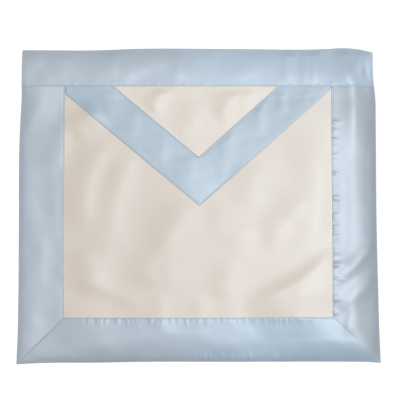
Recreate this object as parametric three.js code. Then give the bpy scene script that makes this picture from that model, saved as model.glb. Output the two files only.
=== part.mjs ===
// A masonic apron lying face up: a cream cloth panel, a satin ribbon folded round its sides and
// bottom edge, a satin waistband folded over its top edge, and a pointed flap with its own ribbon.
// Millimetres. +X is to the right as seen from the front, +Y towards the waist, +Z out of the
// front. The origin is under the middle of the apron, on the surface that it lies on.

import * as THREE from "three";
import { mergeVertices } from "three/addons/utils/BufferGeometryUtils.js";

// Overall size
const apronWidth = 406.4;
const apronHeight = 355.6;

// What shows of each ribbon and of the flap
const borderWidth = 50.8;
const waistbandDepth = 41;
const flapDepth = 135.8;
const flapRibbonWidth = 42;
const flapLeftSide = 8.6;
const flapRightSide = 2.5;
const flapTipShift = 0.8;

// Cloth
const satinThickness = 1;
const panelThickness = 1.2;
const flapThickness = 1;
const layerGap = 0.3;

// Turned-in and tucked-in edges
const hemDepth = 14;
const waistbandBackDepth = 39;
const foldRoom = 12;
const seamTuck = 10;
const hemFade = 18;
const tuckFade = 12;

// How far the cloth rises in its folds and gathers, and how wide a fold is
const panelFoldRise = 2.2;
const panelFoldSpread = 11;
const flapFoldRise = 1.3;
const flapFoldSpread = 7;
const bandFoldRise = 1.3;
const bandFoldSpread = 6.5;
const borderFoldRise = 3;
const borderFoldSpread = 8;
const waistbandFoldRise = 1.8;
const waistbandFoldSpread = 5.5;
const gatherPitch = 16;
const gatherRise = 0.9;
const gatherReach = 16;
const gatherStart = 3.2;

// Size of the facets
const panelFacet = 14.5;
const borderFacet = 16;
const profileFacet = 7;
const waistbandFacet = 16;
const puckerFacet = 7.5;
const backFacet = 13.5;
const flapFacet = 11;
const mitreFacet = 17;
const foldSegments = 3;

// A table of rows with named columns.
function table(columns, rows) {
  return rows.map((row) => Object.fromEntries(columns.map((name, i) => [name, row[i]])));
}

// How far the real edges stray outwards from a true rectangle. Each row is taken at a share of
// the half height, and its drifts are shares of the border's width.
const sideDrift = table(
  ["at", "leftEdge", "leftSeam", "rightSeam", "rightEdge"],
  [
    [-1, 0.083, 0.015, -0.008, 0.079],
    [-0.82, 0.055, 0.02, -0.008, 0.049],
    [-0.53, 0.037, 0.025, -0.01, 0.02],
    [-0.15, 0.028, 0.03, -0.015, -0.012],
    [0.52, 0, 0.005, -0.037, -0.035],
    [0.68, -0.032, 0, -0.037, -0.042],
    [0.81, -0.045, 0, -0.035, -0.088],
    [1, -0.055, 0, -0.03, -0.108],
  ],
);

// The same for the top and bottom edges, taken at a share of the half width. The top's drifts
// are shares of the waistband's depth, and the bottom's are shares of the border's width.
const endDrift = table(
  ["at", "topEdge", "bottomSeam", "bottomEdge"],
  [
    [-1, 0.005, -0.015, 0.03],
    [-0.9, 0.005, -0.015, 0.008],
    [-0.55, 0.005, -0.015, -0.006],
    [-0.38, 0.039, -0.015, -0.02],
    [0.2, 0.039, -0.018, -0.024],
    [0.72, 0.039, -0.035, -0.028],
    [0.81, 0.063, -0.035, -0.026],
    [0.93, 0.019, -0.035, -0.02],
    [1, -0.056, -0.035, 0],
  ],
);

// Folds: each row is one soft ridge that runs from one point to another, given in shares of the
// half width and half height. It bows to its left by a share of its run. Its rise and spread are
// shares of the rise and spread of its cloth, and a lean above 0 widens its right-hand flank.
const foldColumns = ["fromX", "fromY", "toX", "toY", "bow", "rise", "spread", "lean"];

const panelFolds = table(foldColumns, [
  [0.02, 0.04, -0.27, -0.35, -0.05, 1, 1, 0.3],
  [-0.22, -0.21, -0.22, -0.67, -0.13, 0.55, 0.9, 0.3],
  [-0.07, -0.1, -0.16, -0.6, -0.1, 0.6, 1, -0.2],
  [0.04, 0.02, 0.35, -0.24, -0.07, 0.9, 1, 0.3],
  [-0.5, 0.57, -0.74, 0.44, 0.01, 0.9, 0.8, -0.2],
  [-0.49, 0.47, -0.64, -0.2, -0.1, 1, 1, 0.2],
  [-0.36, 0.41, -0.51, -0.19, -0.02, 0.8, 1, 0.3],
  [0.62, 0.55, 0.6, -0.38, 0.05, 1.1, 1, -0.4],
  [0.63, 0.09, 0.37, -0.29, -0.04, 0.9, 0.9, 0.3],
  [0.84, -0.22, 0.24, -0.68, 0.05, 1.4, 1.1, -0.4],
  [-0.76, -0.42, -0.26, -0.65, -0.03, 1, 0.8, 0.2],
  [-0.74, -0.28, -0.56, -0.56, 0.15, 0.7, 0.7, 0.2],
  [0.19, -0.33, 0.12, -0.62, 0.04, 0.6, 0.9, 0.2],
  [0.33, 0.3, 0.29, -0.05, -0.04, 0.5, 1, 0.2],
]);

const flapFolds = table(foldColumns, [
  [-0.17, 0.79, -0.28, 0.58, -0.03, 0.8, 0.9, 0.2],
  [0.2, 0.77, 0.1, 0.52, 0.03, 0.8, 0.9, 0.2],
  [0.04, 0.73, -0.07, 0.43, 0, 0.6, 1.2, 0.2],
]);

const bandFolds = table(foldColumns, [
  [-0.5, 0.84, -0.52, 0.5, 0.07, 1, 1.2, 0.5],
  [-0.36, 0.66, -0.4, 0.4, 0.07, 0.6, 1.1, 0.2],
  [-0.22, 0.49, -0.23, 0.23, 0.07, 0.5, 1.2, 0.2],
  [0.13, 0.47, 0.12, 0.15, 0.04, 0.6, 1.2, 0.2],
  [0.36, 0.72, 0.35, 0.43, -0.04, 1, 0.8, 0.2],
  [0.47, 0.77, 0.48, 0.58, 0, 0.9, 0.7, 0.2],
  [0.59, 0.77, 0.6, 0.63, 0.05, 0.5, 0.7, 0.2],
]);

const waistbandFolds = table(foldColumns, [
  [-0.12, 0.95, -0.49, 0.81, -0.02, 0.6, 1.3, 0.2],
  [-0.49, 1.03, -0.49, 0.8, 0.03, 0.6, 1.2, 0.2],
  [-0.78, 1.02, -0.79, 0.77, 0.08, 0.4, 1.6, 0.2],
  [-0.12, 1.02, -0.12, 0.77, 0.03, 0.5, 0.9, 0.2],
  [0.51, 1.02, 0.5, 0.77, 0, 0.5, 1, 0.2],
  [0.59, 1.02, 0.6, 0.81, 0.02, 0.4, 0.7, 0.2],
  [0.66, 1.02, 0.66, 0.79, -0.03, 0.6, 0.8, 0.2],
  [0.83, 1.03, 0.83, 0.77, 0, 0.6, 1.1, 0.2],
  [0.96, 1.02, 0.97, 0.79, -0.04, 0.4, 0.7, 0.2],
]);

const leftBorderFolds = table(foldColumns, [
  [-0.73, 0.66, -0.86, 0.25, -0.09, 0.4, 1, 0.2],
  [-0.87, 0.75, -0.93, 0.43, -0.05, 0.3, 0.9, 0.2],
  [-0.87, -0.12, -0.87, -0.64, -0.02, 0.35, 0.9, 0.2],
  [-0.79, 0.2, -0.79, -0.25, -0.03, 0.3, 0.8, 0.2],
]);

const rightBorderFolds = table(foldColumns, [
  [0.86, 0.87, 0.87, 0.28, 0.02, 0.6, 1.05, 0],
  [0.92, 0.79, 0.91, 0.23, 0.04, 0.3, 0.8, 0.2],
  [0.84, 0.4, 0.83, -0.5, 0.03, 0.8, 1.2, -0.3],
  [1.04, -0.31, 0.78, -0.66, -0.02, 1, 1.05, 0.2],
  [1.06, -0.6, 0.76, -0.79, 0.01, 0.7, 1, 0.2],
]);

const bottomBorderFolds = table(foldColumns, [
  [-0.44, -0.81, 0.23, -0.82, -0.01, 0.3, 0.8, 0.2],
  [0.29, -0.79, 0.79, -0.84, 0.01, 0.3, 0.9, 0.2],
  [0.85, -0.73, 0.81, -0.97, 0.13, 0.4, 0.8, 0.2],
]);

// Places worked out from the sizes
const halfWidth = apronWidth / 2;
const halfHeight = apronHeight / 2;
const seamX = halfWidth - borderWidth;
const bottomSeamY = borderWidth - halfHeight;
const waistSeamY = halfHeight - waistbandDepth;
const layerRise = satinThickness + layerGap;
const panelRise = panelThickness + layerGap;
const flapRise = flapThickness + layerGap;
const noseRadius = (2 * satinThickness + layerGap) / 2;
const hemEnd = hemDepth + layerGap;
const hemFlat = hemEnd + hemFade;
const backEnd = waistbandBackDepth + layerGap;
const backFlat = backEnd + hemFade;
const tuckStart = waistbandDepth - seamTuck - layerGap;
const tuckTopY = halfHeight - tuckStart - layerGap;
const flapHalfWidth = seamX - 2 * layerGap;
const gatherCount = Math.round((2 * seamX) / gatherPitch);

const lerp = (a, b, t) => a + (b - a) * t;
const clamp01 = (t) => Math.min(1, Math.max(0, t));

function smooth(t) {
  const s = clamp01(t);
  return s * s * (3 - 2 * s);
}

// The places from one to the other, both ends included, no further apart than the step.
function spaced(from, to, step) {
  const count = Math.max(1, Math.round(Math.abs(to - from) / step));
  return Array.from({ length: count + 1 }, (_, i) => lerp(from, to, i / count));
}

// Joins runs of places into one list, and keeps each shared end once.
function joined(...runs) {
  return runs.flatMap((run, i) => (i ? run.slice(1) : run));
}

// A column of a table at any place, straight between its rows.
function tableValue(rows, column, at) {
  const last = rows.length - 1;
  const upper = rows.findIndex((row) => row.at >= at);
  if (upper === 0) return rows[0][column];
  if (upper < 0) return rows[last][column];
  const low = rows[upper - 1];
  const high = rows[upper];
  return lerp(low[column], high[column], (at - low.at) / (high.at - low.at));
}

// Moves a point of the true rectangle to its place on the real apron: the outer edges drift by
// their own column, the seams by theirs, and the cloth between follows in proportion.
function drifted(x, y) {
  const side = x < 0 ? "left" : "right";
  const seamShare = clamp01(Math.abs(x) / seamX);
  const edgeShare = clamp01((Math.abs(x) - seamX) / borderWidth);
  const atSide = y / halfHeight;
  const seamShift = tableValue(sideDrift, side + "Seam", atSide);
  const edgeShift = tableValue(sideDrift, side + "Edge", atSide);
  const sideShift = borderWidth * lerp(seamShift * seamShare, edgeShift, edgeShare);
  const atEnd = x / halfWidth;
  const top = waistbandDepth * tableValue(endDrift, "topEdge", atEnd);
  const topShift = top * clamp01((y - waistSeamY) / waistbandDepth);
  const bottomSeam = tableValue(endDrift, "bottomSeam", atEnd) * clamp01(y / bottomSeamY);
  const bottomEdge = tableValue(endDrift, "bottomEdge", atEnd);
  const bottomShare = clamp01((bottomSeamY - y) / borderWidth);
  const bottomShift = borderWidth * lerp(bottomSeam, bottomEdge, bottomShare);
  return [x + Math.sign(x) * sideShift, y + topShift - bottomShift];
}

// Height of the folds at a point: each is a ridge with a bell-shaped section across a bowed
// line, and it dies away over the last third of its run at both ends.
function foldHeight(folds, rise, spread, x, y) {
  const endShare = 0.35;
  let height = 0;
  for (const fold of folds) {
    const startX = fold.fromX * halfWidth;
    const startY = fold.fromY * halfHeight;
    const runX = fold.toX * halfWidth - startX;
    const runY = fold.toY * halfHeight - startY;
    const run = Math.hypot(runX, runY);
    const along = ((x - startX) * runX + (y - startY) * runY) / (run * run);
    const left = ((y - startY) * runX - (x - startX) * runY) / run;
    const across = left - fold.bow * run * 4 * along * (1 - along);
    const flank = spread * fold.spread * (1 - Math.sign(across) * fold.lean);
    const taper = smooth(along / endShare) * smooth((1 - along) / endShare);
    height += rise * fold.rise * taper * Math.exp((-across * across) / (2 * flank * flank));
  }
  return height;
}

// How much of its full height the panel has been lifted by a hem under it: 1 over the hem, and
// falling to 0 past its edge.
const hemCover = (inFromEdge) => 1 - clamp01((inFromEdge - hemEnd) / hemFade);
const backCover = (downFromTop) => 1 - clamp01((downFromTop - backEnd) / hemFade);

// How much of the panel's thickness a ribbon folded round its edge has climbed.
const panelCover = (inFromEdge) =>
  clamp01((inFromEdge - noseRadius) / (foldRoom - layerGap - noseRadius));

const inFromSide = (x) => halfWidth - Math.abs(x);
const downFromTop = (y) => halfHeight - y;
const waistbandLift = (y) => layerRise * backCover(downFromTop(y));

// Underside of the flat panel.
function panelLevel(x, y) {
  const hem = Math.max(hemCover(inFromSide(x)), hemCover(y + halfHeight));
  return waistbandLift(y) + layerRise * hem;
}

// Underside of a border's front leaf.
function borderLevel(inFromEdge) {
  return layerRise * hemCover(inFromEdge) + panelRise * panelCover(inFromEdge);
}

// Underside of the flap's cloth and of its ribbon.
const flapLevel = (y) => waistbandLift(y) + panelRise;
const bandLevel = (y) => flapLevel(y) + flapRise;

// The flap's two slanting edges. Each is a line through the tip, with its outward normal.
const flapTip = new THREE.Vector2(flapTipShift, waistSeamY - flapDepth);

function flapEdge(side, straightSide) {
  const corner = new THREE.Vector2(side * flapHalfWidth, waistSeamY - straightSide);
  const along = corner.clone().sub(flapTip).normalize();
  return { side, corner, normal: new THREE.Vector2(side * along.y, -side * along.x) };
}

const flapEdges = [flapEdge(-1, flapLeftSide), flapEdge(1, flapRightSide)];

// Distance inside one edge of the flap.
function insideEdge(edge, x, y) {
  return -edge.normal.x * (x - flapTip.x) - edge.normal.y * (y - flapTip.y);
}

const insideFlap = (x, y) => Math.min(...flapEdges.map((edge) => insideEdge(edge, x, y)));

// Where the line a given distance inside an edge crosses a given height.
function insetX(edge, inset, y) {
  return flapTip.x - (inset + edge.normal.y * (y - flapTip.y)) / edge.normal.x;
}

// The same for a line near the outline, which turns up the flap's straight side at its corner.
function outlineX(edge, inset, y) {
  const limit = flapHalfWidth - inset / Math.abs(edge.normal.x);
  return edge.side * Math.min(edge.side * insetX(edge, inset, y), limit);
}

// The point where the two edges, both moved in by the same distance, meet.
function insetTip(inset) {
  const [left, right] = flapEdges;
  const turn = left.normal.x * right.normal.y - left.normal.y * right.normal.x;
  const x = flapTip.x - (inset * (right.normal.y - left.normal.y)) / turn;
  const y = flapTip.y - (inset * (left.normal.x - right.normal.x)) / turn;
  return new THREE.Vector2(x, y);
}

const innerTip = insetTip(flapRibbonWidth);

// The line where the two ribbons of the flap meet, up to the inner tip.
function mitreX(y) {
  const share = (y - flapTip.y) / (innerTip.y - flapTip.y);
  return lerp(flapTip.x, innerTip.x, clamp01(share));
}

// Underside of the waistband's front leaf: over the panel near the top fold, and over the ends
// of the borders and of the flap that are tucked in along its seam.
const ribbonEdges = flapEdges.map((edge) => edge.side * insetX(edge, flapRibbonWidth, waistSeamY));
const ribbonEdgeX = Math.min(...ribbonEdges);

function waistbandLevel(x, y) {
  const inward = inFromSide(x);
  const down = downFromTop(y);
  const overPanel = layerRise * hemCover(inward) + panelRise;
  const nearFold = layerRise + Math.min(panelCover(inward), panelCover(down)) * overPanel;
  const overBorder = borderLevel(Math.max(inward, noseRadius)) + 2 * layerRise;
  const toFlap = clamp01((inward - borderWidth + foldRoom) / foldRoom);
  const toMiddle = clamp01((ribbonEdgeX - Math.abs(x)) / tuckFade);
  const overFlap = layerRise + panelRise + flapRise + layerRise * (1 - toMiddle);
  const overTuck = inward < borderWidth ? overBorder + toFlap * layerRise : overFlap;
  return lerp(nearFold, overTuck, clamp01((down - tuckStart + tuckFade) / tuckFade));
}

// Builds one closed wall of cloth from a grid: place gives the point on its outer side and the
// point under it on its inner side. leanLeft chooses each cell's diagonal.
function clothWall(rows, columns, place, leanLeft = () => false) {
  const positions = [];
  const corners = rows.map((row) => columns.map((column) => place(row, column)));
  for (const side of ["outer", "inner"]) {
    corners.flat().forEach((corner) => positions.push(...corner[side]));
  }
  const wide = columns.length;
  const under = rows.length * wide;
  const at = (i, j) => i * wide + j;
  const faces = [];
  const quad = (a, b, c, d) => faces.push([a, b, c], [a, c, d]);
  for (let i = 0; i + 1 < rows.length; i += 1) {
    for (let j = 0; j + 1 < wide; j += 1) {
      const cell = [at(i, j), at(i, j + 1), at(i + 1, j + 1), at(i + 1, j)];
      if (leanLeft(rows[i], columns[j])) cell.push(cell.shift());
      quad(...cell);
      quad(...cell.map((k) => k + under).reverse().map((k, n, all) => all[(n + 3) % 4]));
    }
    quad(at(i, 0), at(i + 1, 0), at(i + 1, 0) + under, at(i, 0) + under);
    quad(at(i, wide - 1), at(i, wide - 1) + under, at(i + 1, wide - 1) + under, at(i + 1, wide - 1));
  }
  const end = rows.length - 1;
  for (let j = 0; j + 1 < wide; j += 1) {
    quad(at(0, j), at(0, j) + under, at(0, j + 1) + under, at(0, j + 1));
    quad(at(end, j), at(end, j + 1), at(end, j + 1) + under, at(end, j) + under);
  }
  return closedGeometry(positions, faces);
}

// Merges shared vertices, drops faces with no area and turns the faces outwards.
function closedGeometry(positions, faces) {
  const loose = new THREE.BufferGeometry();
  loose.setAttribute("position", new THREE.Float32BufferAttribute(positions, 3));
  loose.setIndex(faces.flat());
  const merged = mergeVertices(loose);
  const index = Array.from(merged.index.array);
  const point = merged.getAttribute("position");
  const [a, b, c] = [new THREE.Vector3(), new THREE.Vector3(), new THREE.Vector3()];
  const kept = [];
  let volume = 0;
  for (let i = 0; i < index.length; i += 3) {
    const face = index.slice(i, i + 3);
    if (new Set(face).size === 3) {
      kept.push(face);
      [a, b, c].forEach((corner, k) => corner.fromBufferAttribute(point, face[k]));
      volume += a.dot(b.cross(c));
    }
  }
  merged.setIndex((volume < 0 ? kept.map((face) => face.reverse()) : kept).flat());
  merged.computeVertexNormals();
  return merged;
}

const satin = () => new THREE.MeshStandardMaterial({ color: "#b9cbda", roughness: 0.42 });
const cloth = () => new THREE.MeshStandardMaterial({ color: "#e3dbd1", roughness: 0.85 });

function piece(name, geometry, material) {
  const mesh = new THREE.Mesh(geometry, material);
  mesh.name = name;
  return mesh;
}

// The profile of a ribbon folded round an edge, from its front seam over the fold to the end of
// its hem. Each step gives how far in from the edge it is and which part of the ribbon it is on.
function foldedProfile(frontSteps, hemSteps) {
  const nose = Array.from({ length: foldSegments + 1 }, (_, i) => ({
    part: "nose",
    turn: Math.PI * (0.5 + i / foldSegments),
  }));
  return [
    ...frontSteps.map((inward) => ({ part: "front", inward })),
    ...nose,
    ...hemSteps.map((inward) => ({ part: "hem", inward })),
  ];
}

// The outer and inner points of a folded ribbon in its own section: how far in, and how high.
function foldedSection(step, frontLevel) {
  if (step.part === "front") {
    return { outer: [step.inward, frontLevel + satinThickness], inner: [step.inward, frontLevel] };
  }
  if (step.part === "hem") {
    return { outer: [step.inward, 0], inner: [step.inward, satinThickness] };
  }
  const ring = (radius) => [
    noseRadius + radius * Math.cos(step.turn),
    noseRadius + radius * Math.sin(step.turn),
  ];
  return { outer: ring(noseRadius), inner: ring(layerGap / 2) };
}

// A ribbon's lift dies away at its seam and at its folded edge.
function ribbonLift(inward, width, lift) {
  const edgeShare = 0.25;
  const seamShare = 0.16;
  return lift * smooth(inward / (edgeShare * width)) * smooth((width - inward) / (seamShare * width));
}

// Gathers along a seam: ribs across it that start at the stitching and die away over their reach.
function gathers(along, fromSeam) {
  const rib = 0.5 + 0.5 * Math.cos(Math.PI * gatherCount * (along / seamX - 1));
  const fade = 1 - smooth((fromSeam - gatherStart) / (gatherReach - gatherStart));
  return gatherRise * rib * smooth(fromSeam / gatherStart) * fade;
}

const panelEdge = foldRoom - layerGap;
const foldSlope = (panelEdge + noseRadius) / 2;
const borderFront = joined(
  [borderWidth, borderWidth - gatherStart],
  spaced(borderWidth - gatherStart, hemFlat, profileFacet),
  spaced(hemFlat, hemEnd, profileFacet),
  [hemEnd, panelEdge, foldSlope],
);
const borderProfile = foldedProfile(borderFront, [hemDepth]);

// A side border: its foot is cut on the mitre, and its head is tucked into the waistband.
function sideBorder(side, folds, facet) {
  const mitreSteps = spaced(0, 1, mitreFacet / borderWidth).slice(0, -1);
  const bendY = bottomSeamY;
  const straight = joined(
    spaced(bendY, halfHeight - backFlat, facet),
    spaced(halfHeight - backFlat, waistSeamY, facet),
    [waistSeamY, halfHeight - backEnd, tuckTopY],
  );
  const rows = [...mitreSteps.map((share) => ({ share })), ...straight.map((y) => ({ y }))];
  return clothWall(rows, borderProfile, (row, step) => {
    const level = step.part === "front" ? borderLevel(step.inward) : 0;
    const section = foldedSection(step, level);
    const place = ([inward, height]) => {
      const mitreY = inward - halfHeight + layerGap;
      const y = row.y ?? lerp(mitreY, bendY, row.share);
      const x = side * (halfWidth - inward);
      const fromWaist = smooth((waistSeamY - y) / foldRoom);
      const fold = foldHeight(folds, borderFoldRise, borderFoldSpread, x, y) * fromWaist;
      const lift = step.part === "front" ? ribbonLift(inward, borderWidth, fold) : 0;
      return [...drifted(x, y), height + waistbandLift(y) + lift];
    };
    return { outer: place(section.outer), inner: place(section.inner) };
  });
}

// The bottom border: both ends are cut on the mitre, and its inner seam is gathered.
function bottomBorder() {
  const middle = spaced(-seamX, seamX, seamX / gatherCount);
  const mitreSteps = spaced(0, 1, mitreFacet / borderWidth).slice(0, -1);
  const left = mitreSteps.map((share) => ({ side: -1, share }));
  const right = mitreSteps.map((share) => ({ side: 1, share })).reverse();
  const columns = [...left, ...middle.map((x) => ({ x })), ...right];
  return clothWall(columns, borderProfile, (column, step) => {
    const level = step.part === "front" ? borderLevel(step.inward) : 0;
    const section = foldedSection(step, level);
    const place = ([inward, height]) => {
      const mitreX = halfWidth - inward - layerGap;
      const x = column.x ?? column.side * lerp(mitreX, seamX, column.share);
      const y = inward - halfHeight;
      const fold = foldHeight(bottomBorderFolds, borderFoldRise, borderFoldSpread, x, y);
      const rib = gathers(x, borderWidth - inward) * smooth((seamX - Math.abs(x)) / gatherPitch);
      const lift = step.part === "front" ? ribbonLift(inward, borderWidth, fold) + rib : 0;
      return [...drifted(x, y), height + lift];
    };
    return { outer: place(section.outer), inner: place(section.inner) };
  });
}

// The waistband: its front leaf lies over the tucked ends, and its back leaf lies underneath.
function waistband() {
  const front = joined(
    [waistbandDepth, waistbandDepth - gatherStart, tuckStart],
    spaced(tuckStart, tuckStart - tuckFade, profileFacet),
    [tuckStart - tuckFade, panelEdge, foldSlope],
  );
  const profile = foldedProfile(front, spaced(foldRoom, waistbandBackDepth, backFacet));
  const halfColumns = (facet) =>
    joined(
      [halfWidth, halfWidth - noseRadius, halfWidth - panelEdge, halfWidth - hemEnd],
      spaced(halfWidth - hemEnd, halfWidth - hemFlat, facet),
      [halfWidth - hemFlat, seamX + foldRoom, seamX],
      spaced(seamX, ribbonEdgeX, facet),
      [ribbonEdgeX, ribbonEdgeX - tuckFade],
      spaced(ribbonEdgeX - tuckFade, 0, waistbandFacet),
    );
  const left = halfColumns(waistbandFacet).map((x) => -x);
  const columns = joined(left, halfColumns(puckerFacet).reverse());
  return clothWall(columns, profile, (x, step) => {
    const level = step.part === "front" ? waistbandLevel(x, halfHeight - step.inward) : 0;
    const section = foldedSection(step, level);
    const place = ([inward, height]) => {
      const y = halfHeight - inward;
      const fromEnd = smooth(inFromSide(x) / foldRoom);
      const fold = foldHeight(waistbandFolds, waistbandFoldRise, waistbandFoldSpread, x, y) * fromEnd;
      const lift = step.part === "front" ? ribbonLift(inward, waistbandDepth, fold) : 0;
      return [...drifted(x, y), height + lift];
    };
    return { outer: place(section.outer), inner: place(section.inner) };
  });
}

// The cream panel: flat under the ribbons and the flap, with soft folds where it shows.
function apronPanel() {
  const side = [halfWidth - foldRoom, halfWidth - hemEnd, halfWidth - hemFlat, seamX];
  const columns = joined(side.map((x) => -x), spaced(-seamX, seamX, panelFacet), side.reverse());
  const rows = joined(
    side.map((x) => halfWidth - halfHeight - x).reverse(),
    spaced(bottomSeamY, halfHeight - backFlat, panelFacet),
    spaced(halfHeight - backFlat, halfHeight - backEnd, hemFade),
    [halfHeight - backEnd, halfHeight - foldRoom],
  );
  const place = (y, x) => {
    const fromSide = smooth((seamX - Math.abs(x)) / foldRoom);
    const fromBottom = smooth((y - bottomSeamY) / foldRoom);
    const fromFlap = smooth((-insideFlap(x, y) - panelFacet) / foldRoom);
    const fold = foldHeight(panelFolds, panelFoldRise, panelFoldSpread, x, y);
    const low = panelLevel(x, y) + fold * fromSide * fromBottom * fromFlap;
    const at = drifted(x, y);
    return { outer: [...at, low + panelThickness], inner: [...at, low] };
  };
  return clothWall(rows, columns, place, (y, x) => x >= 0);
}

// Rows of the flap, from its tucked edge down: one at each height where its outline or its level
// turns, and others between them.
function flapRows(...turns) {
  const levels = [tuckTopY, halfHeight - backEnd, waistSeamY, halfHeight - backFlat];
  const [top, ...marks] = [...levels, ...turns].sort((a, b) => b - a);
  return marks.reduce((rows, mark) => joined(rows, spaced(rows.at(-1), mark, flapFacet)), [top]);
}

// The flap's cloth, just inside its ribbon's turned-down edge.
function flapPanel() {
  const inset = satinThickness + layerGap;
  const tip = insetTip(inset);
  const [left, right] = flapEdges;
  const rows = flapRows(left.corner.y, right.corner.y, innerTip.y, tip.y);
  return clothWall(rows, spaced(0, 1, flapFacet / flapHalfWidth), (y, share) => {
    const x = lerp(outlineX(left, inset, y), outlineX(right, inset, y), share);
    const fromRibbon = smooth((insideFlap(x, y) - flapRibbonWidth) / foldRoom);
    const fromWaist = smooth((waistSeamY - y) / foldRoom);
    const fold = foldHeight(flapFolds, flapFoldRise, flapFoldSpread, x, y);
    const low = flapLevel(y) + fold * fromRibbon * fromWaist;
    const at = drifted(x, y);
    return { outer: [...at, low + flapThickness], inner: [...at, low] };
  });
}

// One ribbon of the flap: it lies on the flap's cloth, its outer edge is turned down round the
// cloth's edge, and its foot is cut on the mitre.
function flapBand(edge) {
  const lipShare = 0.5;
  const leafFacets = 6;
  const lip = [
    { lip: 1, down: 1 },
    { lip: 1, down: 0.25 },
    { lip: 0.7, down: 0 },
  ];
  const leaf = spaced(0, 1, 1 / leafFacets).map((share) => ({ share }));
  const columns = [...lip, ...leaf.slice(1)];
  const rows = flapRows(edge.corner.y, innerTip.y, flapTip.y + 2 * satinThickness);
  return clothWall(rows, columns, (y, step) => {
    const meet = mitreX(y) + (edge.side * layerGap) / 2;
    const inner = insetX(edge, flapRibbonWidth, y);
    const inside = edge.side * Math.max(edge.side * inner, edge.side * meet);
    const outside = outlineX(edge, 0, y);
    const width = edge.side * (outside - inside);
    const turned = edge.normal.x * edge.side;
    const wall = Math.min(satinThickness / turned, lipShare * width);
    const share = step.share ?? 0;
    const outerX = outside - edge.side * (step.lip ? (1 - step.lip) * wall : share * width);
    const innerX = outside - edge.side * (step.lip ? wall : Math.max(wall, share * width));
    const fold = foldHeight(bandFolds, bandFoldRise, bandFoldSpread, outerX, y);
    const fromEdge = smooth(insideEdge(edge, outerX, y) / foldRoom);
    const fromInner = smooth((edge.side * (outerX - inside)) / foldRoom);
    const fromWaist = smooth((waistSeamY - y) / foldRoom);
    const lift = step.lip ? 0 : fold * fromEdge * fromWaist * (y > innerTip.y ? fromInner : 1);
    const low = bandLevel(y) + lift;
    const drop = (step.down ?? 0) * (flapRise + satinThickness);
    const outerHigh = low + satinThickness - drop;
    const innerHigh = step.down === 1 ? flapLevel(y) : low;
    return {
      outer: [...drifted(outerX, y), outerHigh],
      inner: [...drifted(innerX, y), innerHigh],
    };
  });
}

const apron = new THREE.Group();
apron.add(
  piece("apron_panel", apronPanel(), cloth()),
  piece("left_border", sideBorder(-1, leftBorderFolds, borderFacet), satin()),
  piece("right_border", sideBorder(1, rightBorderFolds, borderFacet), satin()),
  piece("bottom_border", bottomBorder(), satin()),
  piece("waistband", waistband(), satin()),
  piece("flap_panel", flapPanel(), cloth()),
  piece("flap_band_left", flapBand(flapEdges[0]), satin()),
  piece("flap_band_right", flapBand(flapEdges[1]), satin()),
);

export default apron;
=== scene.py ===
"""A masonic apron lying face up: cream cloth edged with pale blue satin ribbon, a satin waistband
folded over its top edge, and a pointed flap that has its own ribbon. Every cloth is a closed wall
worked out on a grid, in metres, with +X to the right as the apron is seen, +Y to the waist and
+Z up off the table."""

import math
from collections import namedtuple

import bpy
import numpy as np
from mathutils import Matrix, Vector


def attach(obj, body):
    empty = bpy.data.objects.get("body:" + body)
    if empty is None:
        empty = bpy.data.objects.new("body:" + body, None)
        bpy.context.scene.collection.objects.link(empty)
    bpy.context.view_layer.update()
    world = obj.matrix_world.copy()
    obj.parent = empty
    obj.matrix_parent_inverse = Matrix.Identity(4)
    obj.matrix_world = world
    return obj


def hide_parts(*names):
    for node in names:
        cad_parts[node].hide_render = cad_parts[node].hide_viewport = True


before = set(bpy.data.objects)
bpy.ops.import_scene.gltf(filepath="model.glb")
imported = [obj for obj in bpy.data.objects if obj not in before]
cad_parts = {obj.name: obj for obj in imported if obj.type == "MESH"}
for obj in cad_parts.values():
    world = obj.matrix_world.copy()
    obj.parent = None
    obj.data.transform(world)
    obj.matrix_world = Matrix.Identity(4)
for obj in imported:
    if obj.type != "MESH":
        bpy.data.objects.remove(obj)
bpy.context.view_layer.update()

MM = 0.001

# Overall size, and what shows of each ribbon and of the flap
APRON_WIDTH = 406.4 * MM
APRON_HEIGHT = 355.6 * MM
BORDER_WIDTH = 50.8 * MM
WAISTBAND_DEPTH = 41 * MM
FLAP_DEPTH = 135.8 * MM
FLAP_RIBBON_WIDTH = 42 * MM
FLAP_LEFT_SIDE = 8.6 * MM
FLAP_RIGHT_SIDE = 2.5 * MM
FLAP_TIP_SHIFT = 0.8 * MM

# Cloth, turned-in edges and tucked-in edges
SATIN = 0.6 * MM
PANEL = 0.8 * MM
FLAP = 0.6 * MM
LAYER_GAP = 0.15 * MM
HEM_DEPTH = 14 * MM
WAISTBAND_BACK_DEPTH = 39 * MM
FOLD_ROOM = 12 * MM
SEAM_TUCK = 10 * MM

# How a cloth's level passes over what lies under it: lengths over which it eases, and powers of
# the curves along which it climbs
HEM_FADE = 18 * MM
MIDDLE_FADE = 45 * MM
CLIMB_POWER = 1.6
END_CLIMB_POWER = 3
CROWN_POWER = 4

# How far the cloth rises in its folds and how wide a fold is. Below them are the share of its
# run over which a fold dies away, and the shares of a ribbon's width over which all of its folds
# do, at its folded edge and at its seam.
PANEL_FOLD = (2.1 * MM, 11.5 * MM)
FLAP_FOLD = (1.8 * MM, 8 * MM)
BAND_FOLD = (0.55 * MM, 6 * MM)
BORDER_FOLD = (2.6 * MM, 7 * MM)
WAISTBAND_FOLD = (0.9 * MM, 6 * MM)
FOLD_END_SHARE = 0.35
LIFT_EDGE_SHARE = 0.2
LIFT_SEAM_SHARE = 0.16

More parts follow.
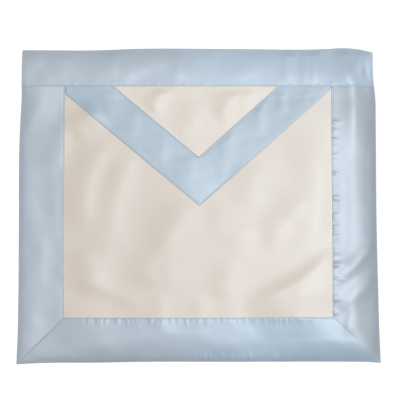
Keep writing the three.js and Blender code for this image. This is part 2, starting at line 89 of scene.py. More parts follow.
# The ribbons' rims, mitres and stitches, the width of the painted shade at the satin's folded edge,
# and the spans across the apron over which painted light brightens the cloth towards the right
RIM_ROUND = 0.5 * MM
RIM_DROP = 0.4 * MM
STITCH_INSET = 1.7 * MM
STITCH_PITCH = 2.6 * MM
STITCH_LENGTH = 1.9 * MM
THREAD_RADIUS = 0.2 * MM
STITCH_COLUMN = 7
STITCH_RINGS = 7
STITCH_TOP = 0.9
STITCH_DIP = 1.4
THREAD_SIDES = 6
THREAD_CAP = ((0, 3, 2, 1), (0, 5, 4, 3))
THREAD_END = 0.02
THREAD_AHEAD = 0.3 * MM
GROOVE_DEPTH = 0.14 * MM
GROOVE_WIDTH = 0.6 * MM
LIP_WALL = 0.4 * MM
LIP_SHARE = 0.5
MITRE_GAP = 0.05 * MM
LEFT_MITRE_PRESS = 0.4 * MM
RIGHT_MITRE_PRESS = 0.05 * MM
MITRE_ROUND = 2.6 * MM
END_HEM = 8 * MM
PAINTED_EDGE_SHADE_WIDTH = 17 * MM
SATIN_PAINTED_LIGHT_SPAN = (-110 * MM, 80 * MM)
CREAM_PAINTED_LIGHT_SPAN = (-30 * MM, 140 * MM)

# Steps of the grids
RIM_STEPS = np.array([0, 0.1, 0.25, 0.5, 0.9, 1.3, 1.7, 2.1, 2.5, 3.2]) * MM
LIP_STEPS = np.array([1, 0.92, 0.7, 0.38, 0])
LEAF_STEP = 0.03
LEAF_RIM_STEPS = np.array([0.94, 0.96, 0.975, 0.988, 1])
NOSE_STEPS = 12
HEM_START = 3 * MM
HEM_STEP = 3 * MM
BACK_STEP = 4 * MM
FINE_STEP = 1.2 * MM
CLOTH_STEP = 2.2 * MM
SHARP_ANGLE = math.radians(50)

# Where the photograph's frame lies on the apron
PIXELS = 400
PIXEL = 1.1384 * MM
FRAME_CENTRE = (1.4 * MM, 7.6 * MM)
CAMERA_HEIGHT = 2.6
SENSOR = 36

HALF_WIDTH = APRON_WIDTH / 2
HALF_HEIGHT = APRON_HEIGHT / 2
SEAM_X = HALF_WIDTH - BORDER_WIDTH
BOTTOM_SEAM_Y = BORDER_WIDTH - HALF_HEIGHT
WAIST_SEAM_Y = HALF_HEIGHT - WAISTBAND_DEPTH
LAYER_RISE = SATIN + LAYER_GAP
PANEL_RISE = PANEL + LAYER_GAP
FLAP_RISE = FLAP + LAYER_GAP
NOSE_RADIUS = (2 * SATIN + LAYER_GAP) / 2
HEM_END = HEM_DEPTH + LAYER_GAP
BACK_END = WAISTBAND_BACK_DEPTH + LAYER_GAP
TUCK_START = WAISTBAND_DEPTH - SEAM_TUCK - LAYER_GAP
TUCK_TOP_Y = HALF_HEIGHT - TUCK_START - LAYER_GAP
FLAP_HALF_WIDTH = SEAM_X - 2 * LAYER_GAP
FLAP_FOOT = 0.8 * SATIN
PANEL_EDGE = FOLD_ROOM - LAYER_GAP

# How far the real edges stray outwards from a true rectangle, in shares of the border's width,
# each row at a share of the half height. The end rows are at shares of the half width, and their
# top drifts are in shares of the waistband's depth.
SideDrift = namedtuple("SideDrift", "at left_edge left_seam right_seam right_edge")
SIDE_DRIFT = [
    SideDrift(-1, 0.083, 0.015, -0.008, 0.079),
    SideDrift(-0.82, 0.055, 0.02, -0.008, 0.049),
    SideDrift(-0.53, 0.037, 0.025, -0.01, 0.02),
    SideDrift(-0.15, 0.028, 0.03, -0.015, -0.012),
    SideDrift(0.52, 0, 0.005, -0.037, -0.035),
    SideDrift(0.68, -0.032, 0, -0.037, -0.042),
    SideDrift(0.81, -0.045, 0, -0.035, -0.088),
    SideDrift(1, -0.055, 0, -0.03, -0.108),
]
EndDrift = namedtuple("EndDrift", "at top_edge bottom_seam bottom_edge")
END_DRIFT = [
    EndDrift(-1, 0.005, -0.015, 0.03),
    EndDrift(-0.9, 0.005, -0.015, 0.008),
    EndDrift(-0.55, 0.005, -0.015, -0.006),
    EndDrift(-0.38, 0.039, -0.015, -0.02),
    EndDrift(0.2, 0.039, -0.018, -0.024),
    EndDrift(0.72, 0.039, -0.035, -0.028),
    EndDrift(0.81, 0.063, -0.035, -0.026),
    EndDrift(0.93, 0.019, -0.035, -0.02),
    EndDrift(1, -0.056, -0.035, 0),
]

# The whole cloth lies in one low swell: how high it stands off the table in the middle, and how
# far in from each edge it gets there
Reach = namedtuple("Reach", "left right bottom top")
SWELL_RISE = 6.2 * MM
SWELL_REACH = Reach(260 * MM, 110 * MM, 60 * MM, 280 * MM)
CORNER_POWER = 9

# The shoulder along the edges, under the ribbons: how far it rises and over what reach, at the
# left, along the bottom and at the right, where it passes from one to the next, and how much is
# left at the top
Shoulder = namedtuple("Shoulder", "rise reach")
LEFT_SHOULDER = Shoulder(0.1 * MM, 12 * MM)
BOTTOM_SHOULDER = Shoulder(0.8 * MM, 22 * MM)
RIGHT_SHOULDER = Shoulder(4.3 * MM, 25 * MM)
LEFT_TO_BOTTOM = 0.3 * HALF_WIDTH
RIGHT_START_X = 0.3 * HALF_WIDTH
BOTTOM_TO_RIGHT = 0.45 * HALF_WIDTH
TOP_SHOULDER_RISE = 0.2 * MM
SHOULDER_POWER = 1.5
SHOULDER_FADE = 80 * MM

# Slow unevenness of the lying cloth and of each piece: how much it rises, its shortest and its
# longest wave, and the seed that it is drawn from
Ripple = namedtuple("Ripple", "rise shortest longest seed")
SWAY = Ripple(0.42 * MM, 50 * MM, 130 * MM, 5)
BORDER_RIPPLE = Ripple(0.1 * MM, 18 * MM, 60 * MM, 3)
WAISTBAND_RIPPLE = Ripple(0.08 * MM, 16 * MM, 60 * MM, 8)
FLAP_RIPPLE = Ripple(0.25 * MM, 22 * MM, 60 * MM, 12)
BAND_RIPPLE = Ripple(0.06 * MM, 14 * MM, 44 * MM, 17)
RIPPLE_WAVES = 14

# How far in from the edges the sway and the big folds begin
EDGE_FADE = 30 * MM

# Runs of small puckers along a seam or an edge: where a run starts and ends, how many there
# are, the most that one rises and reaches out, and the seed. Below them are the shares between
# which each pucker's width, slant, rise and length are drawn.
Puckers = namedtuple("Puckers", "start end count rise length seed")
LEFT_PUCKERS = Puckers(-90 * MM, 60 * MM, 9, 0.15 * MM, 12 * MM, 41)
RIGHT_PUCKERS = Puckers(-122 * MM, 100 * MM, 24, 1.1 * MM, 18 * MM, 53)
BOTTOM_SEAM_PUCKERS = Puckers(-136 * MM, 128 * MM, 42, 0.6 * MM, 15 * MM, 23)
BOTTOM_EDGE_PUCKERS = (
    Puckers(-6 * MM, 98 * MM, 24, 1.3 * MM, 21 * MM, 27),
    Puckers(90 * MM, 160 * MM, 16, 1 * MM, 16 * MM, 29),
)
WAIST_PUCKERS = Puckers(-150 * MM, 170 * MM, 36, 0.22 * MM, 11 * MM, 31)
LEFT_BAND_PUCKERS = Puckers(0, 200 * MM, 34, 0.1 * MM, 8 * MM, 61)
RIGHT_BAND_PUCKERS = LEFT_BAND_PUCKERS._replace(seed=71)
PUCKER_WIDTHS = (0.16, 0.34)
PUCKER_SLANTS = (-0.22, 0.22)
PUCKER_RISES = (0.25, 1)
PUCKER_LENGTHS = (0.4, 1)

# Folds: each row is one soft ridge from one point to another, in shares of the half width and
# half height. It bows to its left by a share of its run, its rise and spread are shares of its
# cloth's, and a lean above 0 widens its right-hand flank.
Fold = namedtuple("Fold", "from_x from_y to_x to_y bow rise spread lean")
PANEL_FOLDS = [
    Fold(0.02, 0.04, -0.27, -0.35, -0.05, 0.75, 1, 0.3),
    Fold(-0.22, -0.21, -0.24, -0.56, -0.13, 0.37, 0.9, 0.3),
    Fold(-0.07, -0.1, -0.16, -0.6, -0.1, 0.45, 1, -0.2),
    Fold(0.04, 0.02, 0.35, -0.24, -0.07, 0.7, 1, 0.3),
    Fold(0.86, 1.05, 0.87, 0.28, 0.02, 0.85, 0.67, 0),
    Fold(-0.53, 0.63, -0.74, 0.47, 0.01, 0.85, 0.9, -0.2),
    Fold(-0.71, 0.62, -0.84, 0.15, 0, 0.48, 0.7, 0.1),
    Fold(-0.49, 0.47, -0.64, -0.2, -0.1, 1, 1, 0.2),
    Fold(-0.36, 0.41, -0.51, -0.19, -0.02, 0.65, 1, 0.3),
    Fold(0.62, 0.55, 0.62, -0.38, 0.05, 1, 1.2, 0.3),
    Fold(0.63, 0.09, 0.37, -0.29, -0.04, 0.9, 0.9, 0.3),
    Fold(0.83, -0.21, 0.22, -0.66, 0.09, 2, 1.55, -0.5),
    Fold(0.6, -0.42, 0.56, -0.86, 0.02, 0.8, 1.4, -0.3),
    Fold(-0.74, -0.42, -0.26, -0.65, -0.03, 0.6, 0.9, 0.2),
    Fold(-0.82, -0.52, -0.3, -0.7, 0.03, -0.42, 0.75, 0.2),
    Fold(-0.72, -0.28, -0.56, -0.56, 0.15, 0.45, 0.8, 0.2),
    Fold(0.19, -0.33, 0.12, -0.62, 0.04, 0.6, 0.9, 0.2),
    Fold(0.33, 0.3, 0.29, -0.05, -0.04, 0.5, 1, 0.2),
    Fold(-0.22, -0.52, -0.23, -0.84, 0.06, 0.3, 0.6, 0.2),
    Fold(-0.01, -0.52, 0, -0.84, 0.06, 0.3, 0.6, 0.2),
    Fold(0.21, -0.55, 0.19, -0.84, -0.05, 0.25, 0.6, 0.2),
    Fold(-0.44, -0.03, -0.55, -0.55, -0.08, 0.4, 1.1, 0.2),
]
FLAP_FOLDS = [
    Fold(-0.17, 0.79, -0.28, 0.58, -0.03, 0.8, 0.9, 0.2),
    Fold(0.2, 0.77, 0.1, 0.52, 0.03, 0.8, 0.9, 0.2),
    Fold(0.04, 0.73, -0.07, 0.43, 0, 0.6, 1.2, 0.2),
    Fold(0.29, 0.79, 0.22, 0.63, 0.07, 0.4, 0.9, 0.2),
]
BAND_FOLDS = [
    Fold(-0.5, 0.84, -0.52, 0.5, 0.07, 0.7, 1.3, 0.2),
    Fold(-0.36, 0.66, -0.4, 0.4, 0.07, 0.6, 1.1, 0.2),
    Fold(-0.22, 0.49, -0.23, 0.23, 0.07, 0.5, 1.2, 0.2),
    Fold(0.13, 0.47, 0.12, 0.15, 0.04, 0.6, 1.2, 0.2),
    Fold(0.18, 0.52, 0.19, 0.25, -0.04, 0.5, 0.8, 0.2),
    Fold(0.36, 0.72, 0.35, 0.43, -0.04, 1, 0.8, 0.2),
    Fold(0.47, 0.77, 0.48, 0.58, 0, 0.9, 0.7, 0.2),
    Fold(0.59, 0.77, 0.6, 0.63, 0.05, 0.5, 0.7, 0.2),
    Fold(-0.06, 0.34, -0.04, 0.12, 0.01, 0.5, 1.2, 0.2),
]
WAISTBAND_FOLDS = [
    Fold(-0.12, 0.95, -0.49, 0.81, -0.02, 0.6, 1.3, 0.2),
    Fold(-0.49, 1.03, -0.49, 0.8, 0.03, 0.6, 1.2, 0.2),
    Fold(-0.78, 1.02, -0.79, 0.77, 0.08, 0.4, 1.6, 0.2),
    Fold(-0.12, 1.02, -0.12, 0.77, 0.03, 0.35, 0.9, 0.2),
    Fold(0.29, 1.02, 0.29, 0.79, 0, 0.3, 1, 0.2),
    Fold(0.51, 1.06, 0.5, 0.73, 0, 0.9, 1, 0.2),
    Fold(0.59, 1.06, 0.6, 0.77, 0.02, 0.6, 0.6, 0.2),
    Fold(0.66, 1.06, 0.66, 0.75, -0.03, 1.2, 0.8, 0.2),
    Fold(0.83, 1.07, 0.83, 0.73, 0, 1.2, 1, 0.2),
    Fold(0.93, 1.06, 0.94, 0.75, -0.04, 0.9, 0.7, 0.2),
]
BORDER_FOLDS = [
    Fold(-0.86, 0.78, -1, 0.42, 0, 0.22, 1.1, 0.2),
    Fold(-0.87, -0.08, -0.87, -0.64, -0.02, 0.22, 1.1, 0.2),
    Fold(-0.79, 0.2, -0.79, -0.25, -0.03, 0.12, 0.8, 0.2),
    Fold(0.92, 0.79, 0.91, 0.23, 0.04, 0.25, 0.8, 0.2),
    Fold(1.04, -0.2, 0.77, -0.5, -0.02, 0.85, 0.9, 0.1),
    Fold(1.04, -0.42, 0.76, -0.7, -0.02, 0.75, 1, 0.1),
    Fold(0.77, -0.66, 0.99, -1.03, 0.02, 0.45, 1.8, 0.1),
    Fold(0.88, -0.6, 0.83, -0.86, -0.04, 0.4, 0.8, -0.3),
    Fold(0.81, 0.42, 0.81, -0.62, 0, 0.35, 0.9, 0),
    Fold(-0.44, -0.81, 0.23, -0.82, -0.01, 0.1, 0.8, 0.2),
    Fold(0.29, -0.79, 0.7, -0.83, 0.01, 0.12, 0.9, 0.2),
]

# Each cloth's dark and light shade, and the shares of red, green and blue by which its colour is
# multiplied at the left and at the right: painted light that makes the cloth brighter and bluer
# towards the right, and the bottom border also a little darker at the left
SATIN_TONES = ((0.31, 0.356, 0.409), (0.328, 0.376, 0.431))
# The flap's ribbons are the same satin as the others, with painted shade that makes them a little
# darker.
FLAP_SATIN_SHADED_TONES = ((0.27, 0.336, 0.4), (0.284, 0.354, 0.422))
CREAM_TONES = ((0.505, 0.434, 0.366), (0.527, 0.452, 0.381))
# The flap's cloth is the same cream as the panel, with painted light that makes it a little lighter.
FLAP_CREAM_LIT_TONES = ((0.545, 0.478, 0.41), (0.567, 0.497, 0.425))
THREAD_TONES = ((0.36, 0.44, 0.53), (0.44, 0.52, 0.6))
NO_PAINTED_LIGHT = ((1, 1, 1), (1, 1, 1))
BOTTOM_PAINTED_LIGHT = ((0.94, 0.95, 0.95), (1, 1.09, 1.15))
WAIST_PAINTED_LIGHT = ((1.02, 1.03, 1.02), (1.05, 1.13, 1.19))
CREAM_PAINTED_LIGHT = ((1, 1, 1), (1.11, 1.16, 1.21))
FLAP_CREAM_PAINTED_LIGHT = ((1, 1, 1), (1.04, 1.05, 1.06))

# How deep the painted shade is that darkens the satin towards its folded edge and the reaches between
# which that fades, and the heights of the noise between which a dark shade passes into a light one
PAINTED_EDGE_SHADE = 0.1
PAINTED_EDGE_SHADE_ENDS = (-0.5, 0.8)
TONE_ENDS = (0.3, 0.7)

# Sizes of the patches of each tone, and of the wander of the painted edge shade, in patches to the
# metre
SATIN_PATCHES = 38.0
CREAM_PATCHES = 26.0
THREAD_PATCHES = 400.0
PAINTED_EDGE_SHADE_PATCHES = 22.0
FLUFF_PATCHES = 900.0
FLUFF_SHARE = 0.8

# Weaves: the pitch of the threads, the bump's strength and depth, and the share of each of the
# two ways of the threads
Weave = namedtuple("Weave", "thread strength depth shares")
SATIN_WEAVE = Weave(0.45 * MM, 0.12, 0.05 * MM, (0.3, 1.0))
CREAM_WEAVE = Weave(0.7 * MM, 0.2, 0.08 * MM, (1.0, 1.0))

# Gloss and sheen of each material
SATIN_FINISH = {
    "IOR": 1.58,
    "Roughness": 0.45,
    "Specular IOR Level": 0.82,
    "Specular Tint": (0.83, 0.93, 1.0, 1),
    "Sheen Weight": 0.05,
    "Sheen Roughness": 0.4,
}
CREAM_FINISH = {
    "Roughness": 0.45,
    "Specular IOR Level": 1.0,
    "Specular Tint": (0.78, 0.9, 1.0, 1),
    "Sheen Weight": 0.1,
}
THREAD_FINISH = {"Roughness": 0.6}
FLOOR_FINISH = {"Base Color": (0.93, 0.93, 0.93, 1), "Roughness": 0.9}

# The studio: its floor, its two lights and the light that comes from all round
FLOOR_HALF = 3.0
FLOOR_LEVEL = -0.3 * MM
Lamp = namedtuple("Lamp", "name place size power")
LAMPS = [
    Lamp("overhead_light", (0.6, -0.06, 2.8), 0.8, 71),
    Lamp("left_light", (-2.0, 0.7, 1.4), 1.2, 14),
]
AIR_LIGHT = 0.25


def lerp(a, b, t):
    """The value a share of the way from one value to another."""
    return a + (b - a) * t


def smooth(t):
    """Rises from 0 to 1 with level ends: three times the square less twice the cube."""
    t = np.clip(t, 0, 1)
    return t * t * (3 - 2 * t)


def spaced(start, end, step):
    """Even places from a start to an end, as near to one step apart as they come out."""
    return np.linspace(start, end, max(2, int(round(abs(end - start) / step)) + 1))


def joined(*runs):
    """Joins runs of places into one, and keeps each shared end once."""
    return np.concatenate([runs[0]] + [run[1:] for run in runs[1:]])


def curve_through(rows, column, at):
    """A column of a table as a smooth curve: cubic pieces through its rows, whose slopes are
    those between each row's neighbours."""
    places = np.array([row.at for row in rows], float)
    values = np.array([getattr(row, column) for row in rows], float)
    slopes = np.gradient(values, places)
    at = np.clip(at, places[0], places[-1])
    low = np.clip(np.searchsorted(places, at) - 1, 0, len(places) - 2)
    gap = places[low + 1] - places[low]
    s = (at - places[low]) / gap
    start = (2 * s**3 - 3 * s**2 + 1) * values[low] + (s**3 - 2 * s**2 + s) * gap * slopes[low]
    end = (3 * s**2 - 2 * s**3) * values[low + 1] + (s**3 - s**2) * gap * slopes[low + 1]
    return start + end


def drifted(x, y):
    """Moves points of the true rectangle to their places on the real apron: the outer edges and
    the seams drift by their own columns, and the cloth between follows in proportion."""
    across, at_side, at_end = np.abs(x), y / HALF_HEIGHT, x / HALF_WIDTH
    seam_share = np.clip(across / SEAM_X, 0, 1)
    edge_share = np.clip((across - SEAM_X) / BORDER_WIDTH, 0, 1)
    shift = 0
    for side, mask in (("left", x < 0), ("right", x >= 0)):
        seam = curve_through(SIDE_DRIFT, side + "_seam", at_side) * seam_share
        edge = curve_through(SIDE_DRIFT, side + "_edge", at_side)
        shift = shift + np.where(mask, BORDER_WIDTH * lerp(seam, edge, edge_share), 0)
    top = WAISTBAND_DEPTH * curve_through(END_DRIFT, "top_edge", at_end)
    top = top * np.clip((y - WAIST_SEAM_Y) / WAISTBAND_DEPTH, 0, 1)
    seam = curve_through(END_DRIFT, "bottom_seam", at_end) * np.clip(y / BOTTOM_SEAM_Y, 0, 1)
    edge = curve_through(END_DRIFT, "bottom_edge", at_end)
    bottom = BORDER_WIDTH * lerp(seam, edge, np.clip((BOTTOM_SEAM_Y - y) / BORDER_WIDTH, 0, 1))
    return x + np.sign(x) * shift, y + top - bottom


def fold_height(folds, cloth, x, y):
    """Sum of ridges: each has a bell-shaped section across its bowed line and dies away over
    about the last third of its run at both ends."""
    rise, spread = cloth
    height = np.zeros(np.broadcast(x, y).shape)
    for fold in folds:
        start_x, start_y = fold.from_x * HALF_WIDTH, fold.from_y * HALF_HEIGHT
        run_x, run_y = fold.to_x * HALF_WIDTH - start_x, fold.to_y * HALF_HEIGHT - start_y
        run = math.hypot(run_x, run_y)
        along = ((x - start_x) * run_x + (y - start_y) * run_y) / run**2
        left = ((y - start_y) * run_x - (x - start_x) * run_y) / run
        across = left - fold.bow * run * 4 * along * (1 - along)
        flank = spread * fold.spread * (1 - np.sign(across) * fold.lean)
        taper = smooth(along / FOLD_END_SHARE) * smooth((1 - along) / FOLD_END_SHARE)
        height += rise * fold.rise * taper * np.exp(-(across**2) / (2 * flank**2))
    return height


def ripple(cloth, x, y):
    """Irregular waviness: the sum of sine waves over the root of their number, where each wave's
    length, direction and phase are drawn once from a seeded generator."""
    draw = np.random.default_rng(cloth.seed)
    total = 0
    for _ in range(RIPPLE_WAVES):
        length = draw.uniform(cloth.shortest, cloth.longest)
        turn = draw.uniform(0, math.pi)
        phase = draw.uniform(0, 2 * math.pi)
        along = x * math.cos(turn) + y * math.sin(turn)
        total = total + np.sin(2 * math.pi * along / length + phase)
    return cloth.rise * total / math.sqrt(RIPPLE_WAVES)


def edge_rise(x, y, reaches, power=2):
    """Share that rises from 0 at the apron's edges to 1. What is missing at each edge falls evenly
    over that edge's reach, the four are joined as the root of the sum of their high powers, which
    eases the corners between them, and the result is raised to a power."""
    insets = (HALF_WIDTH + x, HALF_WIDTH - x, HALF_HEIGHT + y, HALF_HEIGHT - y)
    short = 0
    for inset, reach in zip(insets, reaches):
        short = short + (1 - np.clip((inset - NOSE_RADIUS) / reach, 0, 1)) ** CORNER_POWER
    return 1 - np.minimum(short ** (1 / CORNER_POWER), 1) ** power


def shoulder_at(x, y):
    """Rise and reach of the shoulder at a place: they pass from the left's to the bottom's and to
    the right's over soft lengths, and the rise sinks towards the top."""
    to_bottom = smooth((x + SEAM_X) / LEFT_TO_BOTTOM)
    to_right = smooth((x - RIGHT_START_X) / BOTTOM_TO_RIGHT)
    rise, reach = (
        lerp(lerp(left, bottom, to_bottom), right, to_right)
        for left, bottom, right in zip(LEFT_SHOULDER, BOTTOM_SHOULDER, RIGHT_SHOULDER)
    )
    return lerp(TOP_SHOULDER_RISE, rise, smooth((HALF_HEIGHT - y) / SHOULDER_FADE)), reach


def drape(x, y):
    """How high the cloth stands off the table, the same for every layer: the swell, the shoulder
    along the edges, the big folds and the slow unevenness, the last two fading at the edges."""
    rise, reach = shoulder_at(x, y)
    loose = fold_height(PANEL_FOLDS, PANEL_FOLD, x, y) + ripple(SWAY, x, y)
    inset = np.minimum(HALF_WIDTH - np.abs(x), HALF_HEIGHT - np.abs(y))
    swell = SWELL_RISE * edge_rise(x, y, SWELL_REACH)
    shoulder = rise * edge_rise(x, y, [reach] * 4, SHOULDER_POWER)
    return swell + shoulder + loose * smooth((inset - NOSE_RADIUS) / EDGE_FADE)


def hem_cover(inward):
    """Share that is 1 over a border's hem and eases to 0 past its end."""
    return 1 - smooth((inward - HEM_END) / HEM_FADE)


def panel_crown(inward):
    """Share of the panel's thickness that a ribbon folded round its edge has climbed: what is
    left falls as a power of the way still to go."""
    share = np.clip((inward - NOSE_RADIUS) / (PANEL_EDGE - NOSE_RADIUS), 0, 1)
    return 1 - (1 - share) ** CROWN_POWER


def waistband_lift(y):
    """How far the waistband's back leaf lifts what lies on it, easing to nothing below its end."""
    return LAYER_RISE * (1 - smooth((HALF_HEIGHT - y - BACK_END) / HEM_FADE))


def panel_level(x, y):
    """Underside of the flat panel: lifted over the hems and over the waistband's back."""
    hem = np.maximum(hem_cover(HALF_WIDTH - np.abs(x)), hem_cover(y + HALF_HEIGHT))
    return waistband_lift(y) + LAYER_RISE * hem


def border_level(inward):
    """Underside of a border's front leaf: it climbs over the panel's edge, which lies on the hem,
    and eases down past the hem to its seam."""
    ease = smooth((inward - HEM_END) / (BORDER_WIDTH - HEM_END))
    return LAYER_RISE * (1 - ease) + PANEL_RISE * panel_crown(inward)


def flap_level(y):
    """Underside of the flap's cloth, which lies on the panel."""
    return waistband_lift(y) + PANEL_RISE


def band_level(y):
    """Underside of the flap's ribbons, which lie on the flap's cloth."""
    return flap_level(y) + FLAP_RISE


class FlapEdge:
    """One slanting edge of the flap: a line from the tip to a corner, with its outward normal."""

    def __init__(self, side, straight_side):
        self.side = side
        self.corner_y = WAIST_SEAM_Y - straight_side
        run_x, run_y = side * FLAP_HALF_WIDTH - TIP_X, self.corner_y - TIP_Y
        run = math.hypot(run_x, run_y)
        self.normal_x, self.normal_y = side * run_y / run, -side * run_x / run
        self.turned = abs(self.normal_x)

    def inside(self, x, y):
        """How far inside the edge a place is, square to it."""
        return -self.normal_x * (x - TIP_X) - self.normal_y * (y - TIP_Y)

    def line_x(self, inset, y):
        """Where the line one distance inside the edge crosses a height."""
        return TIP_X - (inset + self.normal_y * (y - TIP_Y)) / self.normal_x

    def outline_x(self, inset, y):
        """The same near the outline, which turns up the flap's straight side at its corner."""
        limit = FLAP_HALF_WIDTH - inset / self.turned
        return self.side * np.minimum(self.side * self.line_x(inset, y), limit)


TIP_X, TIP_Y = FLAP_TIP_SHIFT, WAIST_SEAM_Y - FLAP_DEPTH
FLAP_EDGES = [FlapEdge(-1, FLAP_LEFT_SIDE), FlapEdge(1, FLAP_RIGHT_SIDE)]


def inset_tip(inset):
    """The point where the two edges of the flap, both moved in by one distance, meet."""
    left, right = FLAP_EDGES
    turn = left.normal_x * right.normal_y - left.normal_y * right.normal_x
    x = TIP_X - inset * (right.normal_y - left.normal_y) / turn
    return x, TIP_Y - inset * (left.normal_x - right.normal_x) / turn


INNER_X, INNER_Y = inset_tip(FLAP_RIBBON_WIDTH)
RIBBON_EDGE_X = min(edge.side * edge.line_x(FLAP_RIBBON_WIDTH, WAIST_SEAM_Y) for edge in FLAP_EDGES)


def inside_flap(x, y):
    """How far a place is inside the nearer of the flap's two slanting edges."""
    return np.minimum(FLAP_EDGES[0].inside(x, y), FLAP_EDGES[1].inside(x, y))


def flap_mitre_x(y):
    """Where the mitre between the flap's ribbons crosses a height: it runs straight from the tip
    to the point where their inner edges meet."""
    return lerp(TIP_X, INNER_X, np.clip((y - TIP_Y) / (INNER_Y - TIP_Y), 0, 1))


def waistband_level(x, y):
    """Underside of the waistband's front leaf: it climbs from its fold, more and more gently, to
    the ends of the borders and of the flap that are tucked in along its seam. Over the hems at
    its own ends it climbs sooner."""
    inward = HALF_WIDTH - np.abs(x)
    over_ribbon = 2 * LAYER_RISE + PANEL_RISE + FLAP_RISE
    to_middle = smooth((RIBBON_EDGE_X - np.abs(x)) / MIDDLE_FADE)
    over_tuck = lerp(3 * LAYER_RISE, over_ribbon - LAYER_RISE * to_middle, panel_crown(inward))
    climb = TUCK_START - LAYER_GAP - NOSE_RADIUS
    share = np.clip((HALF_HEIGHT - y - NOSE_RADIUS) / climb, 0, 1)
    power = lerp(CLIMB_POWER, END_CLIMB_POWER, hem_cover(inward))
    return lerp(LAYER_RISE, over_tuck, 1 - (1 - share) ** power)


def rim(distance):
    """How far a cut or folded rim is rounded down: a parabola over its last half millimetre."""
    return -RIM_DROP * (1 - np.clip(distance / RIM_ROUND, 0, 1)) ** 2


def groove(distance):
    """The line of stitches pulls the cloth down in a bell-shaped groove."""
    return -GROOVE_DEPTH * np.exp(-(((distance - STITCH_INSET) / GROOVE_WIDTH) ** 2))


def seam_press(from_seam):
    """How far a ribbon's face is pressed down along its seam: the rounded rim and the stitched
    groove. Its underside stays where it is, clear of the cloth below."""
    return rim(from_seam) + groove(from_seam)


def mitre_press(from_mitre, x):
    """How far the ribbon's face is pressed down beside a mitre seam: a parabola over its last few
    millimetres, where the distance is measured along the rows. The left mitre is pressed more."""
    press = np.where(x < 0, LEFT_MITRE_PRESS, RIGHT_MITRE_PRESS)
    return -press * (1 - np.clip(from_mitre / MITRE_ROUND, 0, 1)) ** 2


def puckers(run, along, from_seam):
    """Small ridges that run out from a line of stitches: each is a bell across its own slanting
    line, with a place, width, slant, height and length drawn once from a seeded generator."""
    draw = np.random.default_rng(run.seed)
    pitch = (run.end - run.start) / run.count
    height = 0
    for number in range(run.count):
        centre = run.start + pitch * (number + draw.uniform(0, 1))
        width = pitch * draw.uniform(*PUCKER_WIDTHS)
        slant = draw.uniform(*PUCKER_SLANTS)
        rise = run.rise * draw.uniform(*PUCKER_RISES)
        length = run.length * draw.uniform(*PUCKER_LENGTHS)
        bell = np.exp(-(((along - centre - slant * from_seam) / width) ** 2))
        shown = smooth(from_seam / STITCH_INSET) * (1 - smooth(from_seam / length))
        height = height + rise * bell * shown
    return height


def ribbon_lift(inward, width, lift):
    """A ribbon's folds die away at its seam and at its folded edge."""
    from_edge = smooth(inward / (LIFT_EDGE_SHARE * width))
    return lift * from_edge * smooth((width - inward) / (LIFT_SEAM_SHARE * width))


def stacked(x, y, z):
    """A grid of points from the grids of their three coordinates."""
    return np.stack(np.broadcast_arrays(x, y, z), -1)


def cloth_measures(along, across):
    """The cloth's own measures at each point of a grid, which its weave follows."""
    return np.stack(np.broadcast_arrays(along, across), -1)


def new_piece(name, points, faces, material):
    """A smoothly shaded piece at the origin, with its place in its mesh."""
    mesh = bpy.data.meshes.new(name)
    mesh.from_pydata(points, [], faces)
    mesh.polygons.foreach_set("use_smooth", [True] * len(mesh.polygons))
    mesh.materials.append(material)
    mesh.update()
    piece = bpy.data.objects.new(name, mesh)
    bpy.context.scene.collection.objects.link(piece)
    return piece


def wall(name, outer, inner, measures, material):
    """A closed wall of cloth from two grids of points, one on each side, joined round their
    four rims, with the cloth's own measures as its UV map. Its faces are turned to point outwards,
    so that the volume they enclose is above 0."""
    rows, columns = outer.shape[:2]
    at = np.arange(rows * columns).reshape(rows, columns)
    cell = np.stack([at[:-1, :-1], at[:-1, 1:], at[1:, 1:], at[1:, :-1]], -1).reshape(-1, 4)
    faces = [cell, cell[:, ::-1] + rows * columns]
    for side, turned in ((at[0], False), (at[-1], True), (at[:, 0], True), (at[:, -1], False)):
        low = side + rows * columns
        strip = np.stack([side[:-1], low[:-1], low[1:], side[1:]], -1)
        faces.append(strip[:, ::-1] if turned else strip)
    faces = np.concatenate(faces)
    points = np.concatenate([outer.reshape(-1, 3), inner.reshape(-1, 3)])
    a, b, c, d = (points[faces[:, k]] for k in range(4))
    volume = (np.cross(b, c) * a).sum() + (np.cross(c, d) * a).sum()
    if volume < 0:
        faces = faces[:, ::-1]
    piece = new_piece(name, points, faces, material)
    corners = np.tile(measures.reshape(-1, 2), (2, 1))[faces.reshape(-1)]
    layer = piece.data.uv_layers.new(name="cloth")
    layer.data.foreach_set("uv", corners.astype(np.float32).ravel())
    piece.data.set_sharp_from_angle(angle=SHARP_ANGLE)
    return piece


Profile = namedtuple("Profile", "outer_in outer_z inner_in inner_z front")


def folded_profile(depth, hem_depth, hem_step):
    """Section of a ribbon folded round an edge: its front leaf, before it is lifted, a half circle
    over the fold, and its hem, each as distances in from the fold and heights, on both sides."""
    rim_steps = depth - RIM_STEPS
    leaf = joined(rim_steps, spaced(rim_steps[-1], NOSE_RADIUS, FINE_STEP))[:-1]
    hem = spaced(HEM_START, hem_depth, hem_step)
    turn = np.pi * (0.5 + np.arange(NOSE_STEPS + 1) / NOSE_STEPS)
    nose_in = np.cos(turn)
    nose_z = np.sin(turn)
    inside_radius = NOSE_RADIUS - SATIN
    return Profile(
        np.concatenate([leaf, NOSE_RADIUS * (1 + nose_in), hem]),
        np.concatenate([leaf * 0 + SATIN, NOSE_RADIUS * (1 + nose_z), hem * 0]),
        np.concatenate([leaf, NOSE_RADIUS + inside_radius * nose_in, hem]),
        np.concatenate([leaf * 0, NOSE_RADIUS + inside_radius * nose_z, hem * 0 + SATIN]),
        np.concatenate([leaf * 0 + 1, turn * 0, hem * 0]),
    )


